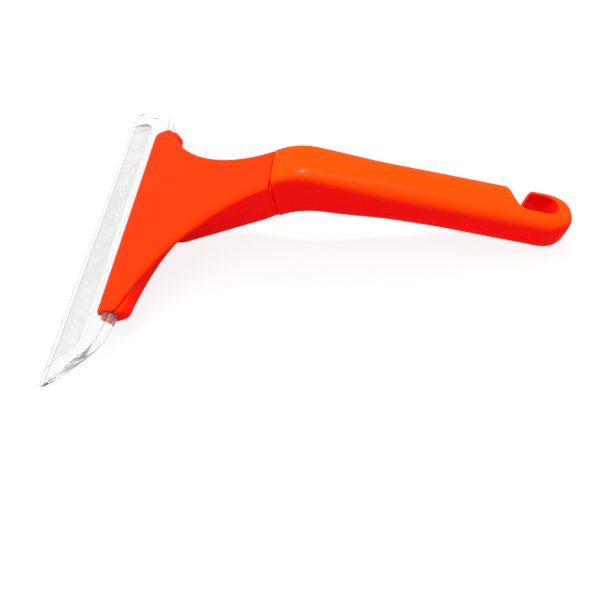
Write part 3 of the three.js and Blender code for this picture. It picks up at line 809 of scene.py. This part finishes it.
def orange_plastic(name, orange, smooth, rough, depth):
    """Orange moulded plastic, finely stippled, with painted shade: redder the more it turns away
    from facing up.
    """
    if name in bpy.data.materials:
        return bpy.data.materials[name]
    finish = bpy.context.scene.scraper_finish
    material, shader, grain = new_material(
        name,
        stipple=1 / finish.stipple,
        mottle=45.0,
        smooth=smooth,
        rough=rough,
        strength=0.35,
        depth=depth,
    )
    tree = material.node_tree
    nodes, links = tree.nodes, tree.links
    # Painted shade: the surface's normal lets the red take over from the orange as the surface
    # turns from facing up.
    surface = nodes.new("ShaderNodeNewGeometry")
    upward = nodes.new("ShaderNodeSeparateXYZ")
    turn = nodes.new("ShaderNodeMapRange")
    turn.interpolation_type = "SMOOTHSTEP"
    turn.inputs["From Min"].default_value = 0.05
    turn.inputs["From Max"].default_value = 0.92
    painted_shade_mix = mix_node(tree, finish.red, orange)
    mottled = nodes.new("ShaderNodeHueSaturation")
    value = nodes.new("ShaderNodeMapRange")
    value.inputs["To Min"].default_value = 0.95
    value.inputs["To Max"].default_value = 1.05
    links.new(surface.outputs["Normal"], upward.inputs["Vector"])
    links.new(upward.outputs["Z"], turn.inputs["Value"])
    links.new(turn.outputs["Result"], painted_shade_mix.inputs["Factor"])
    links.new(painted_shade_mix.outputs["Result"], mottled.inputs["Color"])
    links.new(grain.outputs["Mottle"], value.inputs["Value"])
    links.new(value.outputs["Result"], mottled.inputs["Value"])
    links.new(mottled.outputs["Color"], shader.inputs["Base Color"])
    shader.inputs["Specular IOR Level"].default_value = 0.0
    shader.inputs["Coat Weight"].default_value = 0.09
    shader.inputs["Coat Roughness"].default_value = 0.07
    return material


def grip_plastic():
    """The grip's finish, with a stipple that shows."""
    orange = bpy.context.scene.scraper_finish.orange
    return orange_plastic("orange_grip", orange, smooth=0.3, rough=0.42, depth=0.06 * MM)


def head_plastic():
    """The head's finish, smoother than the grip's, with a darker orange as painted shade."""
    orange = bpy.context.scene.scraper_finish.shaded_head_orange
    return orange_plastic("orange_head", orange, smooth=0.28, rough=0.38, depth=0.03 * MM)


def clear_plastic():
    """Clear moulded plastic: glassy rims, a faintly frosted, mottled panel and grey lines of
    painted shade.
    """
    finish = bpy.context.scene.scraper_finish
    frost_roughness = 0.3  # added where the panel is fully frosted
    material, shader, grain = new_material(
        "clear_plastic",
        stipple=420.0,
        mottle=70.0,
        smooth=0.02,
        rough=0.08,
        strength=0.12,
        depth=0.1 * MM,
    )
    tree = material.node_tree
    nodes, links = tree.nodes, tree.links
    frost = nodes.new("ShaderNodeAttribute")
    frost.attribute_name = "frost"
    # Painted shade: the dark lines are mixed over the clear and frosted colour.
    painted_shade_lines = nodes.new("ShaderNodeAttribute")
    painted_shade_lines.attribute_name = "painted_shade_lines"
    cloudy = math_node(tree, "MULTIPLY")
    misted = mix_node(tree, finish.clear, finish.frost)
    painted_lines_mix = mix_node(tree, finish.clear, finish.painted_shade_lines)
    rough = math_node(tree, "MULTIPLY_ADD")
    rough.inputs[1].default_value = frost_roughness
    spread = nodes.new("ShaderNodeMapRange")
    spread.inputs["From Min"].default_value = 0.3
    spread.inputs["From Max"].default_value = 0.7
    spread.inputs["To Min"].default_value = 0.55
    links.new(grain.outputs["Mottle"], spread.inputs["Value"])
    links.new(frost.outputs["Fac"], cloudy.inputs[0])
    links.new(spread.outputs["Result"], cloudy.inputs[1])
    links.new(cloudy.outputs["Value"], misted.inputs["Factor"])
    links.new(misted.outputs["Result"], painted_lines_mix.inputs["A"])
    links.new(painted_shade_lines.outputs["Fac"], painted_lines_mix.inputs["Factor"])
    links.new(painted_lines_mix.outputs["Result"], shader.inputs["Base Color"])
    links.new(cloudy.outputs["Value"], rough.inputs[0])
    links.new(grain.outputs["Roughness"], rough.inputs[2])
    links.new(rough.outputs["Value"], shader.inputs["Roughness"])
    shader.inputs["IOR"].default_value = 1.49
    shader.inputs["Transmission Weight"].default_value = 0.95
    return material


def screw_steel():
    """Plain steel: grey, lightly mottled, with a fine grain in its roughness."""
    steel = bpy.context.scene.scraper_finish.steel
    darker = [0.75 * part for part in steel]
    material, shader, grain = new_material(
        "screw_steel",
        stipple=3000.0,
        mottle=600.0,
        smooth=0.25,
        rough=0.45,
        strength=0.1,
        depth=0.05 * MM,
    )
    tint = mix_node(material.node_tree, darker, steel)
    links = material.node_tree.links
    links.new(grain.outputs["Mottle"], tint.inputs["Factor"])
    links.new(tint.outputs["Result"], shader.inputs["Base Color"])
    shader.inputs["Metallic"].default_value = 1.0
    return material


class SCRAPER_OT_grip(bpy.types.Operator):
    """Makes the grip with its hook"""

    bl_idname = "scraper.grip"
    bl_label = "Grip"

    def execute(self, context):
        grip, head, _ = sizes()
        place, _ = placing()
        reach = grip.seam + grip.bend_height
        low = (-reach, -grip.width / 2, -grip.bend_height - reach * math.sin(grip.bend))
        high = (grip.length, grip.width / 2, 0)
        field, box, finish = grip_field(grip, head), (low, high), grip_plastic()
        skin("grip_skin", field, box, GRIP_CELL, place, finish, "grip")
        return {"FINISHED"}


class SCRAPER_OT_cover(bpy.types.Operator):
    """Makes the fan-shaped cover of the head"""

    bl_idname = "scraper.cover"
    bl_label = "Head cover"

    def execute(self, context):
        grip, head, blade = sizes()
        _, place = placing()
        low = (-head.length, -head.width / 2, -head.cover)
        high = (-grip.seam, head.width / 2, 0)
        field, box, finish = cover_field(grip, head, blade), (low, high), head_plastic()
        skin("cover_skin", field, box, COVER_CELL, place, finish, "head_cover")
        return {"FINISHED"}


class SCRAPER_OT_base(bpy.types.Operator):
    """Makes the base of the head with its keel"""

    bl_idname = "scraper.base"
    bl_label = "Head base"

    def execute(self, context):
        grip, head, blade = sizes()
        _, place = placing()
        low = (-head.length, -head.width / 2, -head.neck_depth)
        high = (-grip.seam, head.width / 2, -head.cover)
        field, box, finish = base_field(grip, head, blade), (low, high), head_plastic()
        skin("base_skin", field, box, BASE_CELL, place, finish, "head_base")
        return {"FINISHED"}


class SCRAPER_OT_blade(bpy.types.Operator):
    """Makes the clear blade"""

    bl_idname = "scraper.blade"
    bl_label = "Blade"

    def execute(self, context):
        _, head, blade = sizes()
        _, (rotation, origin) = placing()
        root = origin + rotation @ np.array([-head.length, 0, -blade_depth(head, blade)])
        low = (-blade.reach, -blade.width / 2, -blade.bead_radius)
        high = (blade.bead_setback + blade.bead_radius, blade.width / 2, blade.bead_radius)
        place, marks = (rotation, root), blade_marks(blade)
        field, box, finish = blade_field(blade), (low, high), clear_plastic()
        skin("blade_skin", field, box, BLADE_CELL, place, finish, "blade", marks)
        return {"FINISHED"}


class SCRAPER_OT_screws(bpy.types.Operator):
    """Gives the screws their steel"""

    bl_idname = "scraper.screws"
    bl_label = "Screws"

    def execute(self, context):
        steel = screw_steel()
        for name, node in frame["nodes"].items():
            if "screw" in name:
                node.data.materials.clear()
                node.data.materials.append(steel)
        return {"FINISHED"}


def lamp(name, place, size, watts):
    """A soft rectangular lamp that faces the origin, under the middle of the tool."""
    data = bpy.data.lights.new(name, "AREA")
    data.shape = "RECTANGLE"
    data.size, data.size_y = size
    data.energy = watts
    light = bpy.data.objects.new(name, data)
    bpy.context.collection.objects.link(light)
    light.location = place
    light.rotation_euler = (-light.location).to_track_quat("-Z", "Y").to_euler()


def seen_rays(tree):
    """A mask of the rays that show the background: direct, mirrored or through the blade."""
    rays = tree.nodes.new("ShaderNodeLightPath")
    seen = rays.outputs["Is Camera Ray"]
    for label in ("Is Glossy Ray", "Is Transmission Ray"):
        either = math_node(tree, "MAXIMUM")
        tree.links.new(seen, either.inputs[0])
        tree.links.new(rays.outputs[label], either.inputs[1])
        seen = either.outputs["Value"]
    return seen


def floor_paper():
    """White paper: mostly plain white where it is seen, so that only a trace of the shadow shows.

    Away from the tool the share of plain white rises to 1, so that the far edge doesn't show.
    """
    material = bpy.data.materials.new("floor_paper")
    material.use_nodes = True
    tree = material.node_tree
    tree.nodes.clear()
    end = tree.nodes.new("ShaderNodeOutputMaterial")
    matt = tree.nodes.new("ShaderNodeBsdfDiffuse")
    matt.inputs["Color"].default_value = FLOOR_TONE
    white = tree.nodes.new("ShaderNodeEmission")
    mix = tree.nodes.new("ShaderNodeMixShader")
    share = math_node(tree, "MULTIPLY")
    where = tree.nodes.new("ShaderNodeTexCoord")
    away = tree.nodes.new("ShaderNodeVectorMath")
    away.operation = "LENGTH"
    fade = tree.nodes.new("ShaderNodeMapRange")
    fade.inputs["From Min"].default_value, fade.inputs["From Max"].default_value = FLOOR_FADE
    fade.inputs["To Min"].default_value = FLOOR_WHITE
    fade.inputs["To Max"].default_value = 1.0
    tree.links.new(where.outputs["Object"], away.inputs[0])
    tree.links.new(away.outputs["Value"], fade.inputs["Value"])
    tree.links.new(fade.outputs["Result"], share.inputs[1])
    tree.links.new(seen_rays(tree), share.inputs[0])
    tree.links.new(share.outputs["Value"], mix.inputs["Fac"])
    tree.links.new(matt.outputs["BSDF"], mix.inputs[1])
    tree.links.new(white.outputs["Emission"], mix.inputs[2])
    tree.links.new(mix.outputs["Shader"], end.inputs["Surface"])
    return material


def studio_world():
    """A white room where it is seen, and a softer light where it lights the tool."""
    world = bpy.data.worlds.new("studio")
    world.use_nodes = True
    tree = world.node_tree
    light = tree.nodes["Background"]
    light.inputs["Color"].default_value = (1, 1, 1, 1)
    strength = tree.nodes.new("ShaderNodeMapRange")
    strength.inputs["To Min"].default_value = ROOM_LIGHT
    strength.inputs["To Max"].default_value = 1.0
    tree.links.new(seen_rays(tree), strength.inputs["Value"])
    tree.links.new(strength.outputs["Result"], light.inputs["Strength"])
    return world


class SCRAPER_OT_stage(bpy.types.Operator):
    """Sets the floor, the lamps, the world and the camera"""

    bl_idname = "scraper.stage"
    bl_label = "Stage"

    def execute(self, context):
        scene = context.scene
        half = FLOOR_HALF
        corners = [(-half, -half, 0), (half, -half, 0), (half, half, 0), (-half, half, 0)]
        mesh = bpy.data.meshes.new("floor")
        mesh.from_pydata(corners, [], [(0, 1, 2, 3)])
        mesh.materials.append(floor_paper())
        floor = bpy.data.objects.new("floor", mesh)
        context.collection.objects.link(floor)
        for settings in LAMPS:
            lamp(*settings)
        scene.world = studio_world()
        scene.view_settings.view_transform = "Standard"
        data = bpy.data.cameras.new("camera")
        data.lens = CAMERA_LENS
        data.sensor_width = CAMERA_SENSOR
        data.clip_start = CAMERA_NEAR
        camera = bpy.data.objects.new("camera", data)
        context.collection.objects.link(camera)
        camera.location = CAMERA_PLACE
        camera.rotation_euler = Euler([math.radians(part) for part in CAMERA_TURN], "XYZ")
        scene.camera = camera
        return {"FINISHED"}


class SCRAPER_PT_tool(bpy.types.Panel):
    """Lists the pieces of the scraper and their main sizes"""

    bl_label = "Glass scraper"
    bl_idname = "SCRAPER_PT_tool"
    bl_space_type = "VIEW_3D"
    bl_region_type = "UI"
    bl_category = "Scraper"

    def draw(self, context):
        column = self.layout.column()
        for operator in OPERATORS:
            column.operator(operator.bl_idname)
        for name in GROUPS:
            group = getattr(context.scene, name)
            column.label(text=name.replace("_", " "))
            for key in group.__annotations__:
                column.prop(group, key)


OPERATORS = (
    SCRAPER_OT_grip,
    SCRAPER_OT_cover,
    SCRAPER_OT_base,
    SCRAPER_OT_blade,
    SCRAPER_OT_screws,
    SCRAPER_OT_stage,
)
GROUPS = {
    "scraper_grip": ScraperGripSizes,
    "scraper_head": ScraperHeadSizes,
    "scraper_blade": ScraperBladeSizes,
    "scraper_finish": ScraperFinish,
}
CLASSES = (*GROUPS.values(), *OPERATORS, SCRAPER_PT_tool)


def register():
    """Registers the classes and hangs the sizes on the scene."""
    for cls in CLASSES:
        bpy.utils.register_class(cls)
    for name, group in GROUPS.items():
        setattr(bpy.types.Scene, name, PointerProperty(type=group))


def unregister():
    """Takes the sizes off the scene and the classes out."""
    for name in GROUPS:
        delattr(bpy.types.Scene, name)
    for cls in reversed(CLASSES):
        bpy.utils.unregister_class(cls)


def main():
    """Builds every piece and the stage."""
    register()
    bpy.ops.scraper.grip()
    bpy.ops.scraper.cover()
    bpy.ops.scraper.base()
    bpy.ops.scraper.blade()
    bpy.ops.scraper.screws()
    bpy.ops.scraper.stage()


if __name__ == "__main__":
    main()
